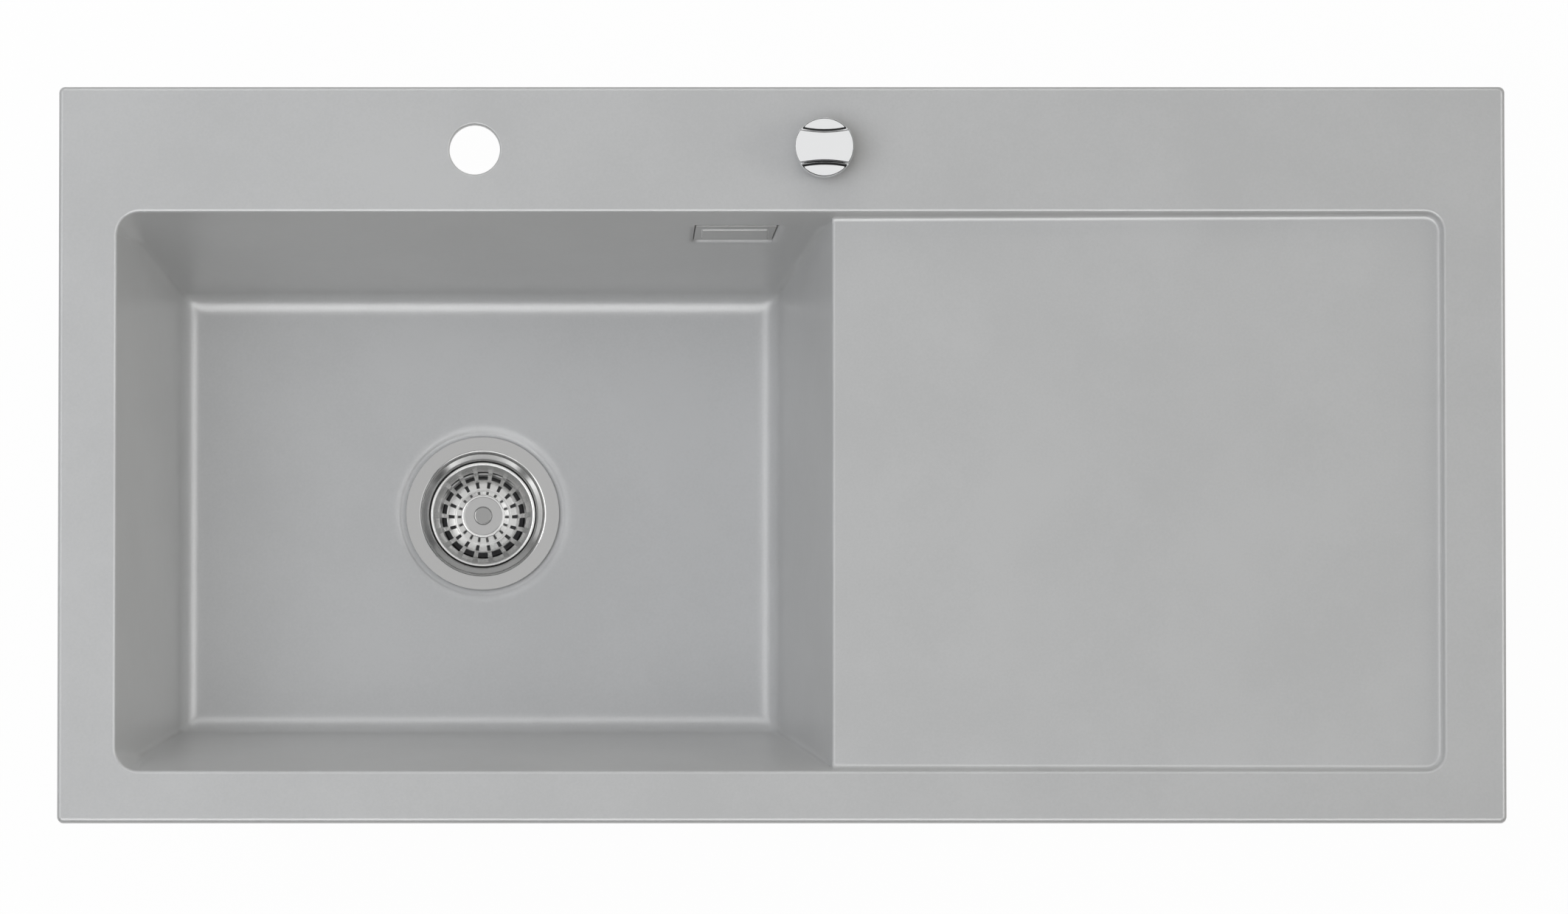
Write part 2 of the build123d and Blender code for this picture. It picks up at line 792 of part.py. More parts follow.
# Bracket for the cable end, carried on the shaft boss
lug_drop = z_crank - z_shaft
lug_run = lug_y - shaft_y
bracket_x = cup_outer + seat_gap
lug_plane = Plane(origin=(waste_x + lug_x, lug_y, z_crank), z_dir=(0, 1, 0))
with BuildPart() as cable_bracket:
    with BuildSketch(shaft_plane.offset(bracket_x)):
        Circle(bracket_eye_radius)
        with Locations((lug_run + lug_length / 2, lug_drop)):
            Rectangle(lug_length, 2 * lug_half)
        make_hull()
    extrude(amount=bracket_thickness)
    with BuildSketch(shaft_plane.offset(bracket_x)):
        with Locations((lug_run + lug_length / 2, lug_drop)):
            Rectangle(lug_length, 2 * lug_half)
    extrude(amount=lug_x + lug_half - bracket_x)
    with BuildSketch(shaft_plane.offset(bracket_x)):
        Circle(shaft_boss_radius + run_gap)
    extrude(amount=bracket_thickness, mode=Mode.SUBTRACT)
    with BuildSketch(lug_plane):
        Circle(gland_radius + thread_gap)
    extrude(amount=lug_length, mode=Mode.SUBTRACT)

# Hollow screw that clamps strainer bowl and housing together
with BuildPart() as clamp_screw:
    with BuildSketch(Plane((waste_x, waste_y, z_plate_top))):
        Circle(clamp_head_radius)
    extrude(amount=clamp_head_height)
    fillet(clamp_screw.edges().group_by(Axis.Z)[-1], clamp_head_round)
    with BuildSketch(Plane((waste_x, waste_y, z_plate_top))):
        Circle(clamp_radius)
    extrude(amount=z_boss_bottom - z_plate_top)
    with BuildSketch(Plane((waste_x, waste_y, z_boss_bottom))):
        Circle(pin_radius + run_gap)
    extrude(amount=z_plate_top - z_boss_bottom + clamp_head_height, mode=Mode.SUBTRACT)

# Basket, pressed and perforated
z_boss_sheet = z_flange - basket_boss_drop
z_basket_ring = z_flange - basket_ring_drop
with BuildPart() as strainer_basket:
    with BuildSketch(waste_xz):
        with BuildLine():
            FilletPolyline(
                (basket_rim_radius, z_flange - basket_sink),
                (basket_wall_radius, z_flange - basket_sink),
                (basket_knee_radius, z_flange - basket_knee_drop),
                (basket_base_radius, z_flange - basket_base_drop),
                (basket_ring_radius, z_basket_ring),
                (basket_boss_radius, z_boss_sheet),
                (button_shank + thread_gap, z_boss_sheet),
                radius=[
                    basket_rim_bend,
                    basket_knee_bend,
                    basket_base_bend,
                    basket_ring_bend,
                    basket_ring_bend,
                ],
            )
        trace(line_width=basket_sheet)
    revolve(axis=waste_axis)
    with BuildSketch(Plane((waste_x, waste_y, z_basket_ring - basket_sheet))):
        with PolarLocations(inner_slot_radius, basket_slots):
            RectangleRounded(inner_slot_length, inner_slot_width, slot_corner)
        with PolarLocations(outer_slot_radius, basket_slots, start_angle=180 / basket_slots):
            RectangleRounded(outer_slot_length, outer_slot_width, slot_corner)
    extrude(amount=basket_ring_drop - basket_sink - basket_sheet, mode=Mode.SUBTRACT)

# Cap disc on the basket
z_cap = z_boss_sheet + basket_sheet / 2
with BuildPart() as basket_cap:
    with BuildSketch(Plane((waste_x, waste_y, z_cap))):
        Circle(cap_radius)
        Circle(button_shank + thread_gap, mode=Mode.SUBTRACT)
    extrude(amount=cap_height)
    fillet(basket_cap.edges().group_by(Axis.Z)[-1].sort_by(SortBy.RADIUS)[-1], cap_round)

# Button screw that holds cap, basket and plug together
z_button = z_cap + cap_height
with BuildPart() as basket_button:
    with BuildSketch(Plane((waste_x, waste_y, z_button))):
        Circle(button_radius)
    extrude(amount=button_height)
    fillet(basket_button.edges().group_by(Axis.Z)[-1], button_round)
    with BuildSketch(Plane((waste_x, waste_y, z_button))):
        Circle(button_shank)
    extrude(amount=-(cap_height + basket_sheet + button_grip))

# Plug under the basket
z_plug_top = z_boss_sheet - basket_sheet / 2
z_plug_disc = z_basket_ring - basket_sheet / 2 - run_gap
z_plug_under = z_plug_disc - plug_height
with BuildPart() as basket_plug:
    with BuildSketch(Plane((waste_x, waste_y, z_plug_under))):
        Circle(plug_radius)
    extrude(amount=plug_height)
    with BuildSketch(Plane((waste_x, waste_y, z_plug_disc))):
        Circle(plug_column_radius)
    extrude(amount=z_plug_top - z_plug_disc)
    with BuildSketch(Plane((waste_x, waste_y, z_plug_top))):
        Circle(button_shank + run_gap)
    extrude(amount=-(button_grip + seat_gap), mode=Mode.SUBTRACT)
    with BuildSketch(Plane((waste_x, waste_y, z_plug_under))):
        Circle(pin_radius + fit_gap)
    extrude(amount=pin_socket_depth, mode=Mode.SUBTRACT)

# Rubber ring that closes the drain
with BuildPart() as basket_seal:
    with BuildSketch(Plane((waste_x, waste_y, z_plate_top + fit_gap))):
        Circle(seal_outer_radius)
        Circle(seal_inner_radius, mode=Mode.SUBTRACT)
    extrude(amount=z_plug_under - z_plate_top - fit_gap)

# Lift pin through the hollow screw
z_pin_top = z_plug_under + pin_socket_depth - seat_gap
with BuildPart() as lift_pin:
    with BuildSketch(Plane((waste_x, waste_y, z_pin_bottom))):
        Circle(pin_radius)
    extrude(amount=z_pin_top - z_pin_bottom)

# Shaft, finger and crank, drawn in the basket-down position
finger_way = (0, math.cos(half_swing), -math.sin(half_swing))
finger_plane = Plane(origin=shaft_plane.origin, x_dir=finger_way, z_dir=(1, 0, 0))
with BuildPart() as lift_shaft:
    with BuildSketch(shaft_plane.offset(-boss_face - shaft_boss_inside + seat_gap)):
        Circle(shaft_radius)
    extrude(amount=boss_face + shaft_boss_inside - seat_gap + crank_x + crank_thickness)
    with BuildSketch(shaft_plane.offset(crank_x + crank_thickness)):
        Circle(crank_screw_radius + run_gap)
    extrude(amount=-crank_screw_length, mode=Mode.SUBTRACT)

with BuildPart() as lift_finger:
    with BuildSketch(finger_plane.offset(-finger_width / 2)):
        Circle(finger_hub_radius)
        with Locations((lever_arm / 2, 0)):
            Rectangle(lever_arm, finger_depth)
        with Locations((lever_arm, 0)):
            Circle(pad_radius)
        Circle(shaft_radius + run_gap, mode=Mode.SUBTRACT)
    extrude(amount=finger_width)

with BuildPart() as crank_arm:
    with BuildSketch(finger_plane.offset(crank_x)):
        Circle(shaft_boss_radius)
        with Locations((0, -crank_length)):
            Circle(crank_tip_radius)
        make_hull()
        Circle(shaft_radius + run_gap, mode=Mode.SUBTRACT)
        with Locations((0, -crank_length)):
            Circle(crank_eye_radius, mode=Mode.SUBTRACT)
    extrude(amount=crank_thickness)

with BuildPart() as crank_screw:
    with BuildSketch(shaft_plane.offset(crank_x + crank_thickness)):
        Circle(shaft_boss_radius - sheet)
    extrude(amount=screw_head_height)
    with BuildSketch(shaft_plane.offset(crank_x + crank_thickness)):
        Circle(crank_screw_radius)
    extrude(amount=seat_gap - crank_screw_length)

with BuildPart() as shaft_seal:
    with BuildSketch(shaft_plane.offset(shaft_end - seal_depth)):
        Circle(shaft_radius + seal_width - run_gap)
        Circle(shaft_radius + run_gap, mode=Mode.SUBTRACT)
    extrude(amount=seal_depth - seat_gap)

# Body of the control, a threaded neck over a cup for the cable drum
stop_mid = control_bore - stop_reach / 2
stop_angle = math.degrees((lug_width + stop_width) / 2 / (control_bore - stop_reach)) + stop_slack
cable_y = hole_y - drum_radius
knob_gland = Plane(origin=(knob_x + gland_boss_reach, cable_y, z_drum_mid), z_dir=(1, 0, 0))
with BuildPart() as control_body:
    with BuildSketch(Plane((knob_x, hole_y, z_cup_top))):
        Circle(neck_radius)
    extrude(amount=z_neck - z_cup_top)
    with BuildSketch(Plane((knob_x, hole_y, z_cup_end))):
        Circle(control_cup_radius)
    extrude(amount=control_cup_height)
    with BuildSketch(Plane((knob_x, hole_y, z_cup_end))):
        with PolarLocations(ear_pitch, cover_screws, start_angle=ear_turn):
            Circle(ear_radius)
    extrude(amount=ear_height)
    with BuildSketch(knob_gland):
        Circle(gland_boss_radius)
    extrude(amount=control_bore - gland_boss_reach - control_cup_wall)
    with BuildSketch(Plane((knob_x, hole_y, z_cup_end))):
        Circle(control_bore)
    extrude(amount=z_roof - z_cup_end, mode=Mode.SUBTRACT)
    with BuildSketch(Plane((knob_x, hole_y, z_cup_end))):
        for angle in (lug_turn + stop_angle, lug_turn - knob_turn - stop_angle):
            with PolarLocations(stop_mid, 1, start_angle=angle):
                Rectangle(stop_reach + control_cup_wall, stop_width)
    extrude(amount=z_roof - z_cup_end)
    with BuildSketch(Plane((knob_x, hole_y, z_roof))):
        Circle(spindle_radius + run_gap)
    extrude(amount=z_neck - z_roof, mode=Mode.SUBTRACT)
    with BuildSketch(Plane((knob_x, hole_y, z_cup_end))):
        with PolarLocations(ear_pitch, cover_screws, start_angle=ear_turn):
            Circle(cover_screw_radius + run_gap)
    extrude(amount=cover_screw_grip - drum_cover_height + seat_gap, mode=Mode.SUBTRACT)
    with BuildSketch(knob_gland):
        Circle(gland_radius + thread_gap)
    extrude(amount=-(gland_grip + seat_gap), mode=Mode.SUBTRACT)
    with BuildSketch(knob_gland):
        Circle(gland_bore)
    extrude(amount=control_bore - gland_boss_reach - control_cup_wall, mode=Mode.SUBTRACT)

# Washer under the deck, gasket and rosette on top of it
with BuildPart() as control_washer:
    with BuildSketch(Plane((knob_x, hole_y, z_cup_top))):
        Circle(control_cup_radius)
        Circle(neck_radius + fit_gap, mode=Mode.SUBTRACT)
    extrude(amount=control_washer_height)

with BuildPart() as control_gasket:
    with BuildSketch(Plane((knob_x, hole_y, z_deck))):
        Circle(rosette_radius - seat_gap)
        Circle(neck_radius + fit_gap, mode=Mode.SUBTRACT)
    extrude(amount=control_gasket_height)

with BuildPart() as control_rosette:
    with BuildSketch(Plane((knob_x, hole_y, z_rosette))):
        Circle(rosette_radius)
        Circle(neck_radius + thread_gap, mode=Mode.SUBTRACT)
    extrude(amount=rosette_height)

# Spindle with a collar under the roof and a square end for the drum
with BuildPart() as control_spindle:
    with BuildSketch(Plane((knob_x, hole_y, z_drum))):
        Circle(spindle_radius)
    extrude(amount=z_spindle - z_drum)
    with BuildSketch(Plane((knob_x, hole_y, z_drum))):
        Circle(spindle_collar_radius)
    extrude(amount=spindle_collar)
    with BuildSketch(Plane((knob_x, hole_y, z_drum))):
        Rectangle(spindle_square, spindle_square)
    extrude(amount=-drum_height)
    with BuildSketch(Plane((knob_x, hole_y, z_drum_end))):
        Circle(drum_screw_radius + run_gap)
    extrude(amount=drum_screw_grip + seat_gap, mode=Mode.SUBTRACT)

# Cable drum with a stop lug
with BuildPart() as cable_drum:
    with BuildSketch(Plane((knob_x, hole_y, z_drum_end))):
        Circle(drum_flange_radius)
    extrude(amount=drum_height)
    with BuildSketch(Plane((knob_x, hole_y, z_drum_end + drum_flange))):
        Circle(drum_flange_radius + lug_width)
        Circle(drum_radius, mode=Mode.SUBTRACT)
    extrude(amount=drum_height - 2 * drum_flange, mode=Mode.SUBTRACT)
    with BuildSketch(Plane((knob_x, hole_y, z_drum - drum_flange))):
        with PolarLocations(lug_reach / 2, 1, start_angle=lug_turn):
            Rectangle(lug_reach, lug_width)
    extrude(amount=drum_flange)
    with BuildSketch(Plane((knob_x, hole_y, z_drum_end))):
        Rectangle(spindle_square + thread_gap, spindle_square + thread_gap)
    extrude(amount=drum_height, mode=Mode.SUBTRACT)

with BuildPart() as drum_screw:
    with BuildSketch(Plane((knob_x, hole_y, z_drum_end))):
        Circle(drum_screw_head)
    extrude(amount=-drum_screw_head_height)
    with BuildSketch(Plane((knob_x, hole_y, z_drum_end))):
        Circle(drum_screw_radius)
    extrude(amount=drum_screw_grip)

# Cover under the drum and its screws
with BuildPart() as drum_cover:
    with BuildSketch(Plane((knob_x, hole_y, z_cup_end))):
        Circle(control_cup_radius)
        with PolarLocations(ear_pitch, cover_screws, start_angle=ear_turn):
            Circle(ear_radius)
        with PolarLocations(ear_pitch, cover_screws, start_angle=ear_turn):
            Circle(cover_screw_radius + run_gap, mode=Mode.SUBTRACT)
    extrude(amount=-drum_cover_height)

cover_screw_parts = {}
for number in range(cover_screws):
    angle = math.radians(ear_turn + 360 / cover_screws * number)
    ear_x = knob_x + ear_pitch * math.cos(angle)
    ear_y = hole_y + ear_pitch * math.sin(angle)
    with BuildPart() as cover_screw:
        with BuildSketch(Plane((ear_x, ear_y, z_cup_end - drum_cover_height))):
            Circle(cover_screw_head)
        extrude(amount=-cover_screw_head_height)
        with BuildSketch(Plane((ear_x, ear_y, z_cup_end - drum_cover_height))):
            Circle(cover_screw_radius)
        extrude(amount=cover_screw_grip)
    cover_screw_parts[f"cover_screw_{number + 1}"] = cover_screw

# Knob, a round cap with two hollows that leave a grip between them
grip_middle = grip_half + grip_arc
z_hollow = z_knob_top - knob_step
with BuildPart() as control_knob:
    with BuildSketch(Plane((knob_x, hole_y, z_knob))):
        Circle(knob_radius)
    extrude(amount=knob_height)
    with BuildSketch(Plane((knob_x, hole_y, z_hollow))):
        with Locations((0, grip_middle), (0, -grip_middle)):
            Circle(grip_arc)
    extrude(amount=knob_step, mode=Mode.SUBTRACT)
    hollow_floors = control_knob.faces().filter_by(Plane.XY).group_by(Axis.Z)[-2]
    foot_edges = [e for f in hollow_floors for e in f.edges() if abs(e.radius - grip_arc) < fit_gap]
    fillet(foot_edges, grip_foot)
    fillet(control_knob.edges().group_by(Axis.Z)[-1], grip_edge)
    hollow_rims = control_knob.edges().filter_by(GeomType.CIRCLE).filter_by(
        lambda e: abs(e.center().Z - z_hollow) < fit_gap and abs(e.radius - knob_radius) < fit_gap
    )
    fillet(hollow_rims, knob_edge)
    with BuildSketch(Plane((knob_x, hole_y, z_knob))):
        Circle(rosette_radius + seat_gap)
    extrude(amount=z_knob_seat - z_knob, mode=Mode.SUBTRACT)
    with BuildSketch(Plane((knob_x, hole_y, z_knob_seat))):
        Circle(spindle_radius + run_gap)
    extrude(amount=knob_socket + seat_gap, mode=Mode.SUBTRACT)
    with BuildSketch(Plane(origin=(knob_x, hole_y, z_knob + grub_height), z_dir=(0, 1, 0))):
        Circle(grub_radius + run_gap)
    extrude(amount=knob_radius, mode=Mode.SUBTRACT)

# Grub screw in the back of the knob
grub_end = hole_y + spindle_radius + run_gap
with BuildPart() as knob_grub_screw:
    with BuildSketch(Plane(origin=(knob_x, grub_end, z_knob + grub_height), z_dir=(0, 1, 0))):
        Circle(grub_radius)
    extrude(amount=grub_length)

# Hollow adjusting screws for the cable ends
waste_gland = Plane(origin=(waste_x + lug_x, lug_y + lug_length, z_crank), z_dir=(0, 1, 0))
gland_parts = {}
for place, plane, grip in (("knob", knob_gland, gland_grip), ("waste", waste_gland, lug_length)):
    with BuildPart() as cable_gland:
        with BuildSketch(plane):
            RegularPolygon(gland_head_radius, gland_sides)
        extrude(amount=gland_head_length)
        with BuildSketch(plane):
            Circle(gland_radius)
        extrude(amount=-grip)
        with BuildSketch(plane.offset(-grip)):
            Circle(gland_bore)
        extrude(amount=grip + gland_head_length, mode=Mode.SUBTRACT)
    gland_parts[f"{place}_cable_gland"] = cable_gland

# One file for each piece
pieces = {
    "sink_body": sink_body,
    "overflow_cover": overflow_cover,
    "overflow_gasket": overflow_gasket,
    "overflow_head": overflow_head,
    "overflow_pipe": overflow_pipe,
    "flange_seal": flange_seal,
    "strainer_bowl": strainer_bowl,
    "under_seal": under_seal,
    "waste_housing": waste_housing,
    "waste_spider": waste_spider,
    "outlet_funnel": outlet_funnel,
    "cable_bracket": cable_bracket,
    "clamp_screw": clamp_screw,
    "strainer_basket": strainer_basket,
    "basket_cap": basket_cap,
    "basket_button": basket_button,
    "basket_plug": basket_plug,
    "basket_seal": basket_seal,
    "lift_pin": lift_pin,
    "lift_shaft": lift_shaft,
    "lift_finger": lift_finger,
    "crank_arm": crank_arm,
    "crank_screw": crank_screw,
    "shaft_seal": shaft_seal,
    "control_body": control_body,
    "control_washer": control_washer,
    "control_gasket": control_gasket,
    "control_rosette": control_rosette,
    "control_spindle": control_spindle,
    "cable_drum": cable_drum,
    "drum_screw": drum_screw,
    "drum_cover": drum_cover,
    "control_knob": control_knob,
    "knob_grub_screw": knob_grub_screw,
    **overflow_screws,
    **union_parts,
    **cover_screw_parts,
    **gland_parts,
}
os.makedirs("parts", exist_ok=True)
for name, piece in pieces.items():
    piece.part.label = name
    export_step(piece.part, f"parts/{name}.step")
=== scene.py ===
import json
import math
import bmesh
import bpy
from mathutils import Matrix, Vector

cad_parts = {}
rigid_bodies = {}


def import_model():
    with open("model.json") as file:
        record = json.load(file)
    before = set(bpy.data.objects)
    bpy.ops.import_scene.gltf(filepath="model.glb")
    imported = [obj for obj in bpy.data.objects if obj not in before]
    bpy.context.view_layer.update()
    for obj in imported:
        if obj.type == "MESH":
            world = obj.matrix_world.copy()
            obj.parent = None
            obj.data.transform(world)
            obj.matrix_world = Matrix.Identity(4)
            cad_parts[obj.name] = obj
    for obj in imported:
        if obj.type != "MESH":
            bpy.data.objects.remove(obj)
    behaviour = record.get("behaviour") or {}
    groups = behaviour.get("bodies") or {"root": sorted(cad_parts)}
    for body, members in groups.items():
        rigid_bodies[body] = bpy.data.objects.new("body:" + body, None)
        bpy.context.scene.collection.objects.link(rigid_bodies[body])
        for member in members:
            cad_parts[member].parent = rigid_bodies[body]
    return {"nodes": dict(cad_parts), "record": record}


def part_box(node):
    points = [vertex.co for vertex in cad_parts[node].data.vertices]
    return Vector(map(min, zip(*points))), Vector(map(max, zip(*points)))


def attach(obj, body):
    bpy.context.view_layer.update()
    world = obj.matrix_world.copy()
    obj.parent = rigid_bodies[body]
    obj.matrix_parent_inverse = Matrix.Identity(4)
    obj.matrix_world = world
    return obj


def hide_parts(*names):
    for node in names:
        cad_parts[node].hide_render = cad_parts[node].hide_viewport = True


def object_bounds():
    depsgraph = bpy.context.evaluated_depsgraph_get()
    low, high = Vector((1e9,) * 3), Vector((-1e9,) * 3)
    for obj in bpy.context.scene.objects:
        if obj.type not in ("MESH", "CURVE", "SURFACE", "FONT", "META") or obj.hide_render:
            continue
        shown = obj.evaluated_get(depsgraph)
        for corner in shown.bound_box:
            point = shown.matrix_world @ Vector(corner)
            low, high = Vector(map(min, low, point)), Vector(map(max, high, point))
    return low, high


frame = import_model()
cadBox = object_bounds()
nodes = frame["nodes"]
record = frame["record"]
print("frame loaded with", len(nodes), "nodes")


# One shader value. Sums and products of values become Math nodes.
class Wire:
    def __init__(self, tree, socket):
        self.tree = tree
        self.socket = socket

    def math(self, operation, first, second):
        return self.tree.add("Math", {"operation": operation}, {0: first, 1: second})

    def __add__(self, other):
        return self.math("ADD", self, other)

    def __radd__(self, other):
        return self.math("ADD", other, self)

    def __sub__(self, other):
        return self.math("SUBTRACT", self, other)

    def __rsub__(self, other):
        return self.math("SUBTRACT", other, self)

    def __mul__(self, other):
        return self.math("MULTIPLY", self, other)

    def __rmul__(self, other):
        return self.math("MULTIPLY", other, self)

    def __lt__(self, other):
        return self.math("LESS_THAN", self, other)

    def __or__(self, other):
        return self.math("MAXIMUM", self, other)


# A node tree that is built up one node at a time
class ShaderTree:
    def __init__(self, owner):
        owner.use_nodes = True
        self.owner = owner
        self.nodes = owner.node_tree.nodes
        self.links = owner.node_tree.links
        self.nodes.clear()

    def add(self, kind, settings=None, sockets=None, out=0):
        node = self.nodes.new("ShaderNode" + kind)
        for name, value in (settings or {}).items():
            setattr(node, name, value)
        for name, value in (sockets or {}).items():
            if isinstance(value, Wire):
                self.links.new(value.socket, node.inputs[name])
            else:
                node.inputs[name].default_value = value
        return Wire(self, node.outputs[out]) if node.outputs else node

    def place(self, scale=(1, 1, 1), turn=(0, 0, 0)):
        point = self.add("TexCoord", out=3)
        return self.add("Mapping", sockets={"Vector": point, "Scale": scale, "Rotation": turn})

    def noise(self, place, scale, detail=2, rough=0.5):
        sockets = {"Vector": place, "Scale": scale, "Detail": detail, "Roughness": rough}
        return self.add("TexNoise", sockets=sockets)

    def blend(self, share, first, second):
        return self.add("Mix", {"data_type": "RGBA"}, {0: share, 6: first, 7: second}, out=2)

    def spread(self, value, low, high, lowOut=0, highOut=1):
        ends = {"From Min": low, "From Max": high, "To Min": lowOut, "To Max": highOut}
        return self.add("MapRange", {"clamp": True}, {"Value": value, **ends})

    def bump(self, height, depth, under=None):
        sockets = {"Height": height, "Distance": depth, "Strength": 1}
        if under:
            sockets["Normal"] = under
        return self.add("Bump", sockets=sockets)

    def facing(self):
        return self.add("NewGeometry", out=1)

    def softEdges(self, reach):
        return self.add("Bevel", {"samples": 8}, {"Radius": reach})

    def surface(self, **sockets):
        named = {name.replace("_", " "): value for name, value in sockets.items()}
        shader = self.add("BsdfPrincipled", sockets=named)
        self.add("OutputMaterial", sockets={"Surface": shader})
        return self.owner


def grey(level):
    return (level, level, level, 1)


def newFinish(name):
    return ShaderTree(bpy.data.materials.new(name))


# Satin glaze over fired clay, with an orange peel skin, soft coves in the bowl and a bare underside
ceramic = {
    "glaze": (0.430, 0.432, 0.430, 1),
    "glazeCloud": (0.456, 0.458, 0.456, 1),
    "cloudSize": 9,
    "bareClay": (0.52, 0.50, 0.46, 1),
    "clayShade": (0.46, 0.44, 0.40, 1),
    "claySize": 60,
    "bareBelow": 0.004,
    "roughness": 0.33,
    "roughSpread": 0.12,
    "bareRoughness": 0.4,
    "peelSize": 620,
    "peelDepth": 0.00005,
    "peelShade": 0.25,
    "rippleSize": 150,
    "rippleDepth": 0.00008,
    "coveReach": 0.009,
    "bowlTop": (-0.016, -0.024),
}


def glazeCeramic():
    t = newFinish("ceramicGlaze")
    point = t.place()
    cloud = t.noise(point, ceramic["cloudSize"], 4, 0.6)
    peel = t.noise(point, ceramic["peelSize"], 3, 0.6)
    ripple = t.noise(point, ceramic["rippleSize"], 2)
    grain = t.spread(peel, 0.3, 0.7, -0.5, 0.5)
    mottle = t.spread(cloud + grain * ceramic["peelShade"], 0.35, 0.65)
    colour = t.blend(mottle, ceramic["glaze"], ceramic["glazeCloud"])
    upward = t.add("SeparateXYZ", sockets={0: t.facing()}, out=2)
    height = t.add("SeparateXYZ", sockets={0: point}, out=2)
    bare = t.spread(upward, -0.35, -0.75) * (height < ceramic["bareBelow"])
    fired = t.noise(point, ceramic["claySize"], 4, 0.7)
    clay = t.blend(fired, ceramic["bareClay"], ceramic["clayShade"])
    inBowl = t.spread(height, *ceramic["bowlTop"])
    normals = {4: t.facing(), 5: t.softEdges(ceramic["coveReach"])}
    cove = t.add("Mix", {"data_type": "VECTOR"}, {0: inBowl, **normals}, out=1)
    skin = t.bump(ripple, ceramic["rippleDepth"], cove)
    skin = t.bump(peel, ceramic["peelDepth"], skin)
    rough = ceramic["roughness"] + (peel - 0.5) * ceramic["roughSpread"]
    return t.surface(
        Base_Color=t.blend(bare, colour, clay),
        Roughness=rough + bare * ceramic["bareRoughness"],
        Normal=skin,
    )


# Polished chrome with faint wiping marks and eased edges
chrome = {
    "colour": (0.93, 0.935, 0.94, 1),
    "roughness": (0.05, 0.11),
    "smearSize": 130,
    "edge": 0.0012,
}


def polishChrome():
    t = newFinish("polishedChrome")
    smear = t.noise(t.place((1, 9, 1), (0, 0, 0.5)), chrome["smearSize"], 4, 0.6)
    return t.surface(
        Base_Color=chrome["colour"],
        Metallic=1,
        Roughness=t.spread(smear, 0.45, 0.8, *chrome["roughness"]),
        Normal=t.softEdges(chrome["edge"]),
    )


# Stainless sheet, turned round the waste
steel = {
    "colour": (0.54, 0.54, 0.536, 1),
    "shade": (0.48, 0.48, 0.476, 1),
    "roughness": 0.2,
    "turning": 2600,
    "turningDepth": 0.000004,
    "turningSpread": 0.1,
    "wornSize": 90,
    "wornSpread": 0.06,
    "basketRoughness": 0.24,
    # the basket's copy of the steel is painted lighter: painted light
    "basketPaintedLight": 1.62,
    # the button's copy of the steel is painted darker: painted shade
    "buttonPaintedShade": 0.74,
}


# The last argument scales the steel's colour: above 1 it paints light, below 1 it paints shade
def turnSteel(name, centre, roughness, paintedLightScale=1.0):
    t = newFinish(name)
    point = t.add("TexCoord", out=3)
    way = t.add("VectorMath", {"operation": "SUBTRACT"}, {0: point, 1: centre})
    flat = t.add("VectorMath", {"operation": "MULTIPLY"}, {0: way, 1: (1, 1, 0)})
    radius = t.add("VectorMath", {"operation": "LENGTH"}, {0: flat}, out=1)
    height = t.add("SeparateXYZ", sockets={0: way}, out=2)
    ring = t.add("CombineXYZ", sockets={0: radius, 2: height})
    lines = t.noise(ring, steel["turning"], 2, 0.7)
    worn = t.noise(point, steel["wornSize"], 3, 0.6)
    shades = [(*(min(1, c * paintedLightScale) for c in steel[key][:3]), 1) for key in ("shade", "colour")]
    rough = roughness + (lines - 0.5) * steel["turningSpread"] + (worn - 0.5) * steel["wornSpread"]
    return t.surface(
        Base_Color=t.blend(lines, *shades),
        Metallic=1,
        Roughness=rough,
        Normal=t.bump(lines, steel["turningDepth"]),
    )


# Plain bright metal for screws, pins and glands
metal = {"stainSize": 160, "lineSize": 420, "lineDepth": 0.000008, "roughSpread": 0.25}


def plainMetal(name, colour, shade, roughness):
    t = newFinish(name)
    stain = t.noise(t.place(), metal["stainSize"], 4, 0.65)
    lines = t.noise(t.place((1, 1, 14)), metal["lineSize"], 2)
    return t.surface(
        Base_Color=t.blend(stain, colour, shade),
        Metallic=1,
        Roughness=roughness + (stain - 0.5) * metal["roughSpread"],
        Normal=t.bump(lines, metal["lineDepth"]),
    )


# Moulded plastic with a fine spark texture
plastic = {"sparkSize": 900, "sparkDepth": 0.00003, "roughSpread": 0.15, "flowSize": 14}


def mouldPlastic(name, colour, shade, roughness):
    t = newFinish(name)
    point = t.place()
    spark = t.noise(point, plastic["sparkSize"], 2, 0.6)
    flow = t.noise(point, plastic["flowSize"], 3)
    return t.surface(
        Base_Color=t.blend(t.spread(flow, 0.3, 0.7), colour, shade),
        Roughness=roughness + (spark - 0.5) * plastic["roughSpread"],
        Normal=t.bump(spark, plastic["sparkDepth"]),
    )


# Overflow cover: glossy plastic in the colour of the glaze, a little darker as painted shade of its
# recess, with a painted highlight along its edges
cover = {
    # colour: the glaze's grey, darkened as painted shade of the recess
    "colour": (0.37, 0.37, 0.365, 1),
    # edge: the colour of the painted highlight along the cover's edges
    "edge": (0.72, 0.72, 0.715, 1),
    "highlightReach": 0.0013,
    "roughness": 0.3,
    "roughSpread": 0.1,
    "sparkDepth": 0.00002,
}


def mouldCover():
    t = newFinish("coverPlastic")
    # Painted highlight: paler where the eased edge normal turns away from the face normal
    normals = {0: t.softEdges(cover["highlightReach"]), 1: t.facing()}
    turned = t.add("VectorMath", {"operation": "DOT_PRODUCT"}, normals, out=1)
    spark = t.noise(t.place(), plastic["sparkSize"], 2, 0.6)
    return t.surface(
        Base_Color=t.blend(t.spread(turned, 0.99, 0.9), cover["colour"], cover["edge"]),
        Roughness=cover["roughness"] + (spark - 0.5) * cover["roughSpread"],
        Normal=t.bump(spark, cover["sparkDepth"]),
    )


